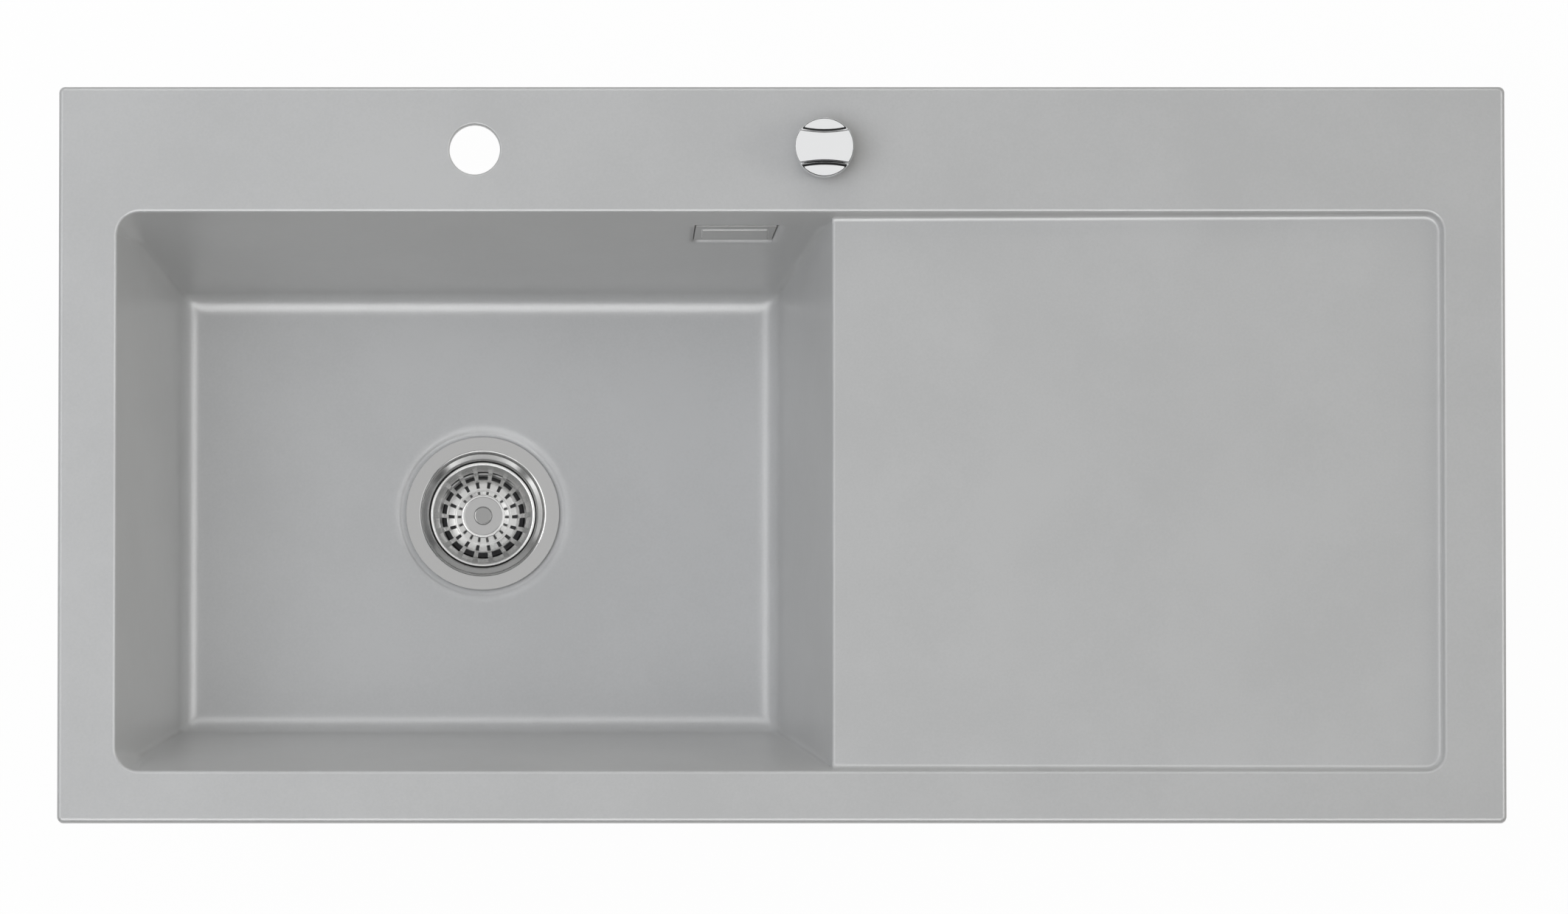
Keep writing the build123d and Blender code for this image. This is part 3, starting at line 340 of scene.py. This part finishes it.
# Black seals with a pale bloom
rubber = {
    "colour": (0.022, 0.022, 0.023, 1),
    "bloom": (0.05, 0.05, 0.051, 1),
    "bloomSize": 70,
    "roughness": (0.55, 0.75),
    "skinSize": 1400,
    "skinDepth": 0.00002,
}


def mouldRubber():
    t = newFinish("sealRubber")
    point = t.place()
    bloom = t.noise(point, rubber["bloomSize"], 5, 0.7)
    return t.surface(
        Base_Color=t.blend(t.spread(bloom, 0.4, 0.75), rubber["colour"], rubber["bloom"]),
        Roughness=t.spread(bloom, 0.3, 0.7, *rubber["roughness"]),
        Normal=t.bump(t.noise(point, rubber["skinSize"], 2), rubber["skinDepth"]),
    )


waste = next(m for m in record["mounts"] if m["name"] == "waste_outlet")["pos_m"]
finishes = {
    "ceramic": glazeCeramic(),
    "cover_grey": mouldCover(),
    "chrome": polishChrome(),
    "steel": turnSteel("turnedSteel", waste, steel["roughness"]),
    "screw_steel": plainMetal("screwSteel", (0.6, 0.6, 0.6, 1), (0.5, 0.5, 0.5, 1), 0.3),
    "brass": plainMetal("plainBrass", (0.72, 0.56, 0.3, 1), (0.62, 0.46, 0.24, 1), 0.3),
    "white_plastic": mouldPlastic("whitePlastic", (0.8, 0.8, 0.78, 1), (0.76, 0.76, 0.74, 1), 0.4),
    "grey_plastic": mouldPlastic("greyPlastic", (0.3, 0.31, 0.32, 1), (0.27, 0.28, 0.29, 1), 0.45),
    "black_plastic": mouldPlastic("blackPlastic", (0.06, 0.06, 0.062, 1), (0.08, 0.08, 0.083, 1), 0.5),
    "rubber": mouldRubber(),
}
for part in record["subparts"]:
    mesh = nodes[part["node"]].data
    mesh.materials.clear()
    mesh.materials.append(finishes[part["material_slot"]])
# The basket's steel is a lighter copy of the same steel: painted light
paintedLightBasketSteel = turnSteel("paintedLightBasketSteel", waste, steel["basketRoughness"], steel["basketPaintedLight"])
# The button's steel is a darker copy of the same steel: painted shade
paintedShadeButtonSteel = turnSteel("paintedShadeButtonSteel", waste, steel["roughness"], steel["buttonPaintedShade"])
nodes["basket_button"].data.materials[0] = paintedShadeButtonSteel
print("finishes on", len(record["subparts"]), "nodes")


# Modelling steps that the pieces below share
modelling = {"merge": 1e-6, "smoothDegrees": 34, "splitMargin": 0.02}


def clearPicks():
    if bpy.context.object and bpy.context.object.mode == "EDIT":
        bpy.ops.object.mode_set(mode="OBJECT")
    bpy.ops.object.select_all(action="DESELECT")


def startPoint(name, place):
    clearPicks()
    bpy.ops.mesh.primitive_plane_add(size=0.01)
    piece = bpy.context.object
    piece.name = name
    bpy.ops.object.mode_set(mode="EDIT")
    bpy.ops.mesh.select_mode(type="VERT")
    bpy.ops.mesh.merge(type="CENTER")
    bpy.ops.transform.translate(value=place)
    return piece


def drawLine(points, closed=False):
    for near, far in zip(points, points[1:]):
        bpy.ops.mesh.extrude_vertices_move(TRANSFORM_OT_translate={"value": far - near})
    if closed:
        bpy.ops.mesh.select_all(action="SELECT")
        bpy.ops.mesh.remove_doubles(threshold=modelling["merge"])


# Turns a profile of radius and height, in millimetres, round an upright axis
def turnProfile(name, profile, centre, steps, closed=False):
    places = [Vector((centre[0] + r / 1000, centre[1], z / 1000)) for r, z in profile]
    if closed:
        places.append(places[0])
    piece = startPoint(name, places[0])
    drawLine(places, closed)
    bpy.ops.mesh.select_all(action="SELECT")
    bpy.ops.mesh.spin(steps=steps, angle=math.tau, center=(centre[0], centre[1], 0), axis=(0, 0, 1))
    bpy.ops.mesh.select_all(action="SELECT")
    bpy.ops.mesh.remove_doubles(threshold=modelling["merge"])
    bpy.ops.mesh.normals_make_consistent(inside=False)
    return piece


# Rounds the corners of a profile, each with its own radius
def roundCorners(points, radii, steps=5):
    line = [Vector(points[0])]
    for before, corner, after, radius in zip(points, points[1:], points[2:], radii):
        corner = Vector(corner)
        back = (Vector(before) - corner).normalized()
        ahead = (Vector(after) - corner).normalized()
        half = back.angle(ahead) / 2
        reach = radius / math.tan(half)
        middle = corner + (back + ahead).normalized() * radius / math.sin(half)
        first = corner + back * reach - middle
        last = corner + ahead * reach - middle
        for step in range(steps + 1):
            line.append(middle + first.slerp(last, step / steps))
    return line + [Vector(points[-1])]


# Adds points where a profile passes the given radii
def splitAt(line, radii):
    out = [line[0]]
    margin = modelling["splitMargin"]
    for near, far in zip(line, line[1:]):
        low, high = sorted((near.x, far.x))
        between = [r for r in radii if low + margin < r < high - margin]
        for r in sorted(between, reverse=near.x > far.x):
            out.append(near.lerp(far, (r - near.x) / (far.x - near.x)))
        out.append(far)
    return out


def pickFaces(piece, test):
    bpy.ops.mesh.select_mode(type="FACE")
    bpy.ops.mesh.select_all(action="DESELECT")
    shell = bmesh.from_edit_mesh(piece.data)
    for face in shell.faces:
        face.select_set(test(face.calc_center_median(), face.normal))
    bmesh.update_edit_mesh(piece.data)


def applyModifier(piece, kind, **settings):
    if piece.mode == "EDIT":
        bpy.ops.object.mode_set(mode="OBJECT")
    modifier = piece.modifiers.new(kind.title(), kind)
    for name, value in settings.items():
        setattr(modifier, name, value)
    bpy.context.view_layer.objects.active = piece
    bpy.ops.object.modifier_apply(modifier=modifier.name)


def roundEdges(piece, width, degrees):
    sharp = math.radians(degrees)
    applyModifier(piece, "BEVEL", width=width, segments=2, limit_method="ANGLE", angle_limit=sharp)


def finishPiece(piece, slot, body, *replaced):
    clearPicks()
    piece.select_set(True)
    bpy.context.view_layer.objects.active = piece
    bpy.ops.object.shade_smooth_by_angle(angle=math.radians(modelling["smoothDegrees"]))
    piece.data.materials.clear()
    piece.data.materials.append(finishes[slot])
    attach(piece, body)
    if replaced:
        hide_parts(*replaced)
    print(piece.name, "has", len(piece.data.polygons), "faces")


# Pressed steel basket with two rings of slots
basket = {
    "profile": [
        (36.4, -190.3), (35.1, -190.3), (31.6, -199.8), (25.0, -208.8), (18.4, -211.3), (15.2, -201.8),
        (4.0, -201.8),
    ],
    "bends": [0.8, 4.8, 3.2, 1.6, 1.6],
    "sheet": 0.0008,
    "steps": 360,
    "slots": 18,
    "innerSlot": {"from": 20.4, "to": 24.4, "degrees": 6},
    "outerSlot": {"from": 25.6, "to": 30.8, "degrees": 14},
    "edge": 0.00022,
    "edgeDegrees": 50,
}


def pressBasket():
    inner, outer = basket["innerSlot"], basket["outerSlot"]
    line = roundCorners(basket["profile"], basket["bends"])
    line = splitAt(line, [inner["from"], inner["to"], outer["from"], outer["to"]])
    piece = turnProfile("wasteBasket", line, waste, basket["steps"])
    pitch = 360 / basket["slots"]

    def inSlot(place, normal):
        radius = math.hypot(place.x - waste[0], place.y - waste[1]) * 1000
        turn = math.degrees(math.atan2(place.y - waste[1], place.x - waste[0])) % pitch
        fromInner = min(turn, pitch - turn)
        fromOuter = abs(turn - pitch / 2)
        low = inner["from"] < radius < inner["to"] and fromInner < inner["degrees"] / 2
        high = outer["from"] < radius < outer["to"] and fromOuter < outer["degrees"] / 2
        return low or high

    pickFaces(piece, inSlot)
    bpy.ops.mesh.delete(type="FACE")
    applyModifier(piece, "SOLIDIFY", thickness=basket["sheet"], offset=0, use_even_offset=True)
    roundEdges(piece, basket["edge"], basket["edgeDegrees"])
    finishPiece(piece, "steel", "basket", "strainer_basket")
    piece.data.materials[0] = paintedLightBasketSteel


pressBasket()


def copyTo(piece, name, matrix):
    clearPicks()
    piece.select_set(True)
    bpy.context.view_layer.objects.active = piece
    bpy.ops.object.duplicate(linked=False)
    twin = bpy.context.object
    twin.name = name
    twin.matrix_world = matrix
    bpy.ops.object.transform_apply(location=True, rotation=True, scale=True)
    return twin


def aimUp(direction):
    return Vector((0, 0, 1)).rotation_difference(Vector(direction)).to_matrix().to_4x4()


def middleOf(node):
    low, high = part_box(node)
    return (Vector(low) + Vector(high)) / 2


# Outlet of the waste: a funnel that runs into a threaded tail
outlet = {
    "profile": [
        (43.8, -258.6), (46.8, -258.6), (46.8, -261.6), (49.4, -261.6), (50.0, -262.2), (49.6, -263.0),
        (26.2, -275.3), (24.6, -276.6), (23.9, -278.0), (23.9, -279.2), (22.7, -279.9), (22.7, -304.6),
        (22.1, -305.6), (20.5, -305.6), (20.5, -276.0), (22.0, -274.6), (43.8, -262.6),
    ],
    "steps": 96,
    "edge": 0.0003,
    "edgeDegrees": 28,
    "ridge": [(22.55, 0.0), (23.75, 0.62), (23.75, 0.98), (22.55, 1.6)],
    "ridgeStart": -304.9,
    "pitch": 2.31,
    "turns": 10,
    "turnSteps": 72,
}


def turnOutlet():
    piece = turnProfile("outletTail", outlet["profile"], waste, outlet["steps"], closed=True)
    roundEdges(piece, outlet["edge"], outlet["edgeDegrees"])
    finishPiece(piece, "white_plastic", "sink", "outlet_funnel")
    ridge = [Vector((r / 1000, 0, (outlet["ridgeStart"] + z) / 1000)) for r, z in outlet["ridge"]]
    thread = startPoint("outletThread", ridge[0])
    drawLine(ridge + ridge[:1], closed=True)
    applyModifier(
        thread, "SCREW", angle=math.tau, screw_offset=outlet["pitch"] / 1000, iterations=outlet["turns"],
        steps=outlet["turnSteps"], render_steps=outlet["turnSteps"],
        use_merge_vertices=True, merge_threshold=modelling["merge"],
    )
    bpy.ops.object.mode_set(mode="EDIT")
    bpy.ops.mesh.select_all(action="SELECT")
    bpy.ops.mesh.fill_holes(sides=6)
    bpy.ops.mesh.normals_make_consistent(inside=False)
    bpy.ops.mesh.select_all(action="SELECT")
    bpy.ops.transform.translate(value=(waste[0], waste[1], 0))
    finishPiece(thread, "white_plastic", "sink")


turnOutlet()

# Union nuts on the overflow pipe, with ribs to grip
unionNut = {
    "profile": [
        (16.1, 0), (18.0, 0), (18.7, 0.7), (18.7, 2.6), (18.7, 15.2), (18.7, 17.2), (17.9, 18),
        (12.7, 18), (12.7, 15), (16.1, 15),
    ],
    "steps": 120,
    "ribs": 24,
    "ribShare": 0.42,
    "ribEnds": (0.003, 0.015),
    "ribBase": 0.0182,
    "ribProud": 0.0011,
    "edge": 0.00025,
    "edgeDegrees": 35,
    "length": 18,
}


def ribNut():
    piece = turnProfile("unionNut", unionNut["profile"], (0, 0), unionNut["steps"], closed=True)
    pitch = math.tau / unionNut["ribs"]

    def onRib(place, normal):
        low, high = unionNut["ribEnds"]
        side = math.hypot(place.x, place.y) > unionNut["ribBase"] and abs(normal.z) < 0.1
        turn = math.atan2(place.y, place.x) % pitch
        return side and low < place.z < high and turn < pitch * unionNut["ribShare"]

    pickFaces(piece, onRib)
    bpy.ops.mesh.extrude_region_shrink_fatten(TRANSFORM_OT_shrink_fatten={"value": unionNut["ribProud"]})
    roundEdges(piece, unionNut["edge"], unionNut["edgeDegrees"])
    half = unionNut["length"] / 2000
    ways = {"upper": Vector((0, 0, -1)), "lower": middleOf("lower_union_nut") - Vector(waste)}
    ways["lower"] = Vector((ways["lower"].x, ways["lower"].y, 0)).normalized()
    for place, way in ways.items():
        node = place + "_union_nut"
        matrix = Matrix.Translation(middleOf(node) - way * half) @ aimUp(way)
        twin = copyTo(piece, place + "UnionNut", matrix)
        finishPiece(twin, "white_plastic", "sink", node)
    bpy.data.objects.remove(piece)


ribNut()

# Pan head screws with a cross recess, sizes in millimetres
screws = {
    "cover": {"head": 2.8, "height": 2.0, "shank": 1.5, "length": 9.0, "body": "sink"},
    "overflow": {"head": 3.4, "height": 2.4, "shank": 1.7, "length": 13.0, "body": "sink"},
    "crank": {"head": 7.0, "height": 2.4, "shank": 2.0, "length": 9.7, "body": "lift_lever"},
}
recess = {"widest": 3.4, "width": 0.3, "arm": 0.42, "depth": 6, "taper": 0.5}  # widest in mm, then shares
screwSteps = 40
wallTilt = math.radians(12.5)
intoWall = (0, math.cos(wallTilt), -math.sin(wallTilt))
screwPlaces = {
    "cover_screw_1": ("cover", (42.25, 233.58, -27.0), (0, 0, -1)),
    "cover_screw_2": ("cover", (4.0, 211.5, -27.0), (0, 0, -1)),
    "cover_screw_3": ("cover", (42.25, 189.42, -27.0), (0, 0, -1)),
    "overflow_screw_1": ("overflow", (-51.1, 175.02, -39.5), intoWall),
    "overflow_screw_2": ("overflow", (-14.1, 175.02, -39.5), intoWall),
    "crank_screw": ("crank", (-146.31, -49.05, -250.1), (1, 0, 0)),
}


def turnScrew(kind):
    size = screws[kind]
    head, height, shank, length = size["head"], size["height"], size["shank"], size["length"]
    profile = [
        (0, height), (head * 0.5, height * 0.97), (head * 0.8, height * 0.82), (head * 0.96, height * 0.5),
        (head, height * 0.2), (head, 0), (shank, 0), (shank, 0.6 - length), (shank * 0.6, -length),
        (0, -length),
    ]
    piece = turnProfile(kind + "Master", profile, (0, 0), screwSteps)
    grip = min(head, recess["widest"]) / 1000
    top = (0, 0, height / 1000)
    clearPicks()
    bpy.ops.mesh.primitive_cube_add(size=grip * recess["width"], location=top)
    cutter = bpy.context.object
    bpy.ops.object.mode_set(mode="EDIT")
    pickFaces(cutter, lambda place, normal: abs(normal.z) < 0.5)
    bpy.ops.mesh.extrude_faces_move(TRANSFORM_OT_shrink_fatten={"value": grip * recess["arm"]})
    bpy.ops.mesh.select_all(action="SELECT")
    bpy.ops.transform.resize(value=(1, 1, recess["depth"]), center_override=top)
    pickFaces(cutter, lambda place, normal: normal.z < -0.5)
    bpy.ops.transform.resize(value=(recess["taper"], recess["taper"], 1), center_override=top)
    bpy.ops.object.mode_set(mode="OBJECT")
    applyModifier(piece, "BOOLEAN", operation="DIFFERENCE", object=cutter, solver="EXACT")
    bpy.data.objects.remove(cutter)
    return piece


def setScrews():
    masters = {kind: turnScrew(kind) for kind in screws}
    for node, (kind, at, way) in screwPlaces.items():
        name = kind + "Screw" + node[-1] if node[-1].isdigit() else kind + "Screw"
        twin = copyTo(masters[kind], name, Matrix.Translation(Vector(at) / 1000) @ aimUp(way))
        finishPiece(twin, "screw_steel", screws[kind]["body"], node)
    for piece in masters.values():
        bpy.data.objects.remove(piece)


setScrews()


# Studio: white floor and world, soft lamps, and gleams and cards that only show as reflections
floorLook = {"size": 40, "drop": 0.0005, "lit": 0.9, "litCloud": 0.94, "paperSize": 30, "clean": 0.97}
worldLook = {"fill": 0.31, "warm": (1, 0.975, 0.91, 1)}
lampTint = {"cool": (0.95, 0.98, 1.045), "warm": (1, 0.99, 0.96), "plain": (1, 1, 1)}
lamps = {
    "topSoftbox": {"at": (-0.55, 0.05, 2.0), "size": (3.0, 2.6), "power": 21.5, "tint": "cool"},
    "leftSoftbox": {"at": (-1.1, 0.1, 1.7), "size": (1.8, 2.0), "power": 12.2, "tint": "cool"},
    "rightFill": {"at": (6.0, 0, 2.6), "size": (3.0, 3.0), "power": 88, "tint": "warm"},
    "backFill": {"at": (-0.2, 6.0, 2.6), "size": (3.0, 3.0), "power": 56, "tint": "warm"},
}
gleams = {
    "frontGleam": {"at": (-0.2, -1.7, 1.85), "size": (3.2, 1.8), "power": 140, "on": "ceramic"},
    "leftGleam": {"at": (-2.1, -0.05, 1.9), "size": (2.6, 1.4), "power": 44, "on": "ceramic"},
    "rightGleam": {"at": (2.3, -0.05, 2.2), "size": (2.6, 1.8), "power": 110, "on": "ceramic"},
    "backGleam": {"at": (-0.2, 2.0, 1.9), "size": (3.0, 1.2), "power": 55, "on": "ceramic"},
    "wasteFrontGlow": {"at": (-0.2, -1.85, 1.75), "size": (3.2, 1.3), "power": 30, "on": "steel"},
    "wasteLeftGlow": {"at": (-2.1, -0.05, 1.9), "size": (2.6, 1.4), "power": 27, "on": "steel"},
    "wasteRightGlow": {"at": (2.3, -0.05, 2.2), "size": (2.6, 1.4), "power": 18, "on": "steel"},
}
cards = {
    "ceilingCard": {"at": (0, 0.3, 3.4), "size": (3.2, 3.2), "tone": 0.83},
    "frontFlag": {"at": (0, -2.43, 1.58), "size": (7.0, 4.2), "tone": 0.025},
    "backFlag": {"at": (0, 2.75, 1.4), "size": (7.0, 3.4), "tone": 0.025},
    "rightFlag": {"at": (2.75, 0, 1.4), "size": (5.0, 3.4), "tone": 0.025},
    "leftFlag": {"at": (-2.9, 0, 0.9), "size": (5.0, 2.2), "tone": 0.025},
}


def straightRays(t):
    paths = [t.add("LightPath", out=place) for place in (0, 3, 6)]
    return paths[0] | paths[1] | paths[2]


def faceSink(holder, place):
    holder.location = place
    holder.rotation_euler = (-Vector(place)).to_track_quat("-Z", "Y").to_euler()


# Paper that shows white, keeps the shadow, and lets a view from below through
def layFloor():
    bpy.ops.object.select_all(action="DESELECT")
    under = cadBox[0].z - floorLook["drop"]
    bpy.ops.mesh.primitive_plane_add(size=floorLook["size"], location=(0, 0, under))
    floor = bpy.context.object
    floor.name = "studioFloor"
    t = newFinish("floorPaper")
    paper = t.noise(t.place(), floorLook["paperSize"], 3)
    tone = t.blend(paper, grey(floorLook["lit"]), grey(floorLook["litCloud"]))
    lit = t.add("BsdfDiffuse", sockets={"Color": tone})
    clean = t.add("Emission", sockets={"Color": grey(1), "Strength": 1})
    share = straightRays(t) * floorLook["clean"]
    top = t.add("MixShader", sockets={0: share, 1: lit, 2: clean})
    fromBelow = t.add("NewGeometry", out=6)
    sheet = t.add("MixShader", sockets={0: fromBelow, 1: top, 2: t.add("BsdfTransparent")})
    t.add("OutputMaterial", sockets={"Surface": sheet})
    floor.data.materials.append(t.owner)


def fillWorld():
    world = bpy.data.worlds.new("studioWorld")
    bpy.context.scene.world = world
    t = ShaderTree(world)
    rays = straightRays(t)
    strength = worldLook["fill"] + rays * (1 - worldLook["fill"])
    tint = t.blend(rays, worldLook["warm"], grey(1))
    sky = t.add("Background", sockets={"Color": tint, "Strength": strength})
    t.add("OutputWorld", sockets={"Surface": sky})


layFloor()
fillWorld()

# A gleam shows only on the pieces of one finish, so the chrome keeps its dark lines
gleamFinishes = {
    "ceramic": (finishes["ceramic"], finishes["cover_grey"]),
    "steel": (finishes["steel"], paintedLightBasketSteel, paintedShadeButtonSteel),
}
gleamPieces = {kind: bpy.data.collections.new(kind + "Pieces") for kind in gleamFinishes}
for piece in bpy.context.scene.objects:
    finish = piece.data.materials[:1] if piece.type == "MESH" else []
    for kind, group in gleamPieces.items():
        if finish and finish[0] in gleamFinishes[kind]:
            group.objects.link(piece)


def hangLamp(name, lamp):
    gleam = "on" in lamp
    light = bpy.data.lights.new(name, "AREA")
    light.shape = "RECTANGLE"
    light.size, light.size_y = lamp["size"]
    light.energy = lamp["power"]
    light.color = lampTint[lamp.get("tint", "plain")]
    holder = bpy.data.objects.new(name, light)
    bpy.context.scene.collection.objects.link(holder)
    faceSink(holder, lamp["at"])
    holder.visible_glossy = gleam
    holder.visible_transmission = gleam
    holder.visible_diffuse = not gleam
    holder.visible_camera = False
    if gleam:
        holder.light_linking.receiver_collection = gleamPieces[lamp["on"]]


def hangCard(name, card):
    bpy.ops.mesh.primitive_plane_add(size=1)
    holder = bpy.context.object
    holder.name = name
    holder.scale = (*card["size"], 1)
    faceSink(holder, card["at"])
    t = newFinish(name)
    glow = t.add("Emission", sockets={"Color": grey(card["tone"])})
    t.add("OutputMaterial", sockets={"Surface": glow})
    holder.data.materials.append(t.owner)
    holder.visible_camera = False
    holder.visible_diffuse = False
    holder.visible_shadow = False


for name, lamp in {**lamps, **gleams}.items():
    hangLamp(name, lamp)
for name, card in cards.items():
    hangCard(name, card)
print("studio has", len(lamps) + len(gleams), "lamps and", len(cards), "cards")

# Camera: a long lens almost straight above the sink
lens = {
    "distance": 14.0,
    "elevation": 85.0,
    "aim": (0.0015, -0.0022, 0.012),
    "frameWidth": 1.0832,
    "sensor": 36.0,
    "farEnd": 100,
}
camera = bpy.data.objects.new("photoCamera", bpy.data.cameras.new("photoCamera"))
bpy.context.scene.collection.objects.link(camera)
tilt = math.radians(lens["elevation"])
back = Vector((0, -math.cos(tilt), math.sin(tilt)))
camera.location = Vector(lens["aim"]) + back * lens["distance"]
camera.rotation_euler = (-back).to_track_quat("-Z", "Y").to_euler()
camera.data.sensor_width = lens["sensor"]
camera.data.lens = lens["sensor"] * lens["distance"] / lens["frameWidth"]
camera.data.clip_end = lens["farEnd"]
bpy.context.scene.camera = camera
bpy.context.scene.view_settings.view_transform = "Standard"
print("camera looks down from", lens["distance"], "m")
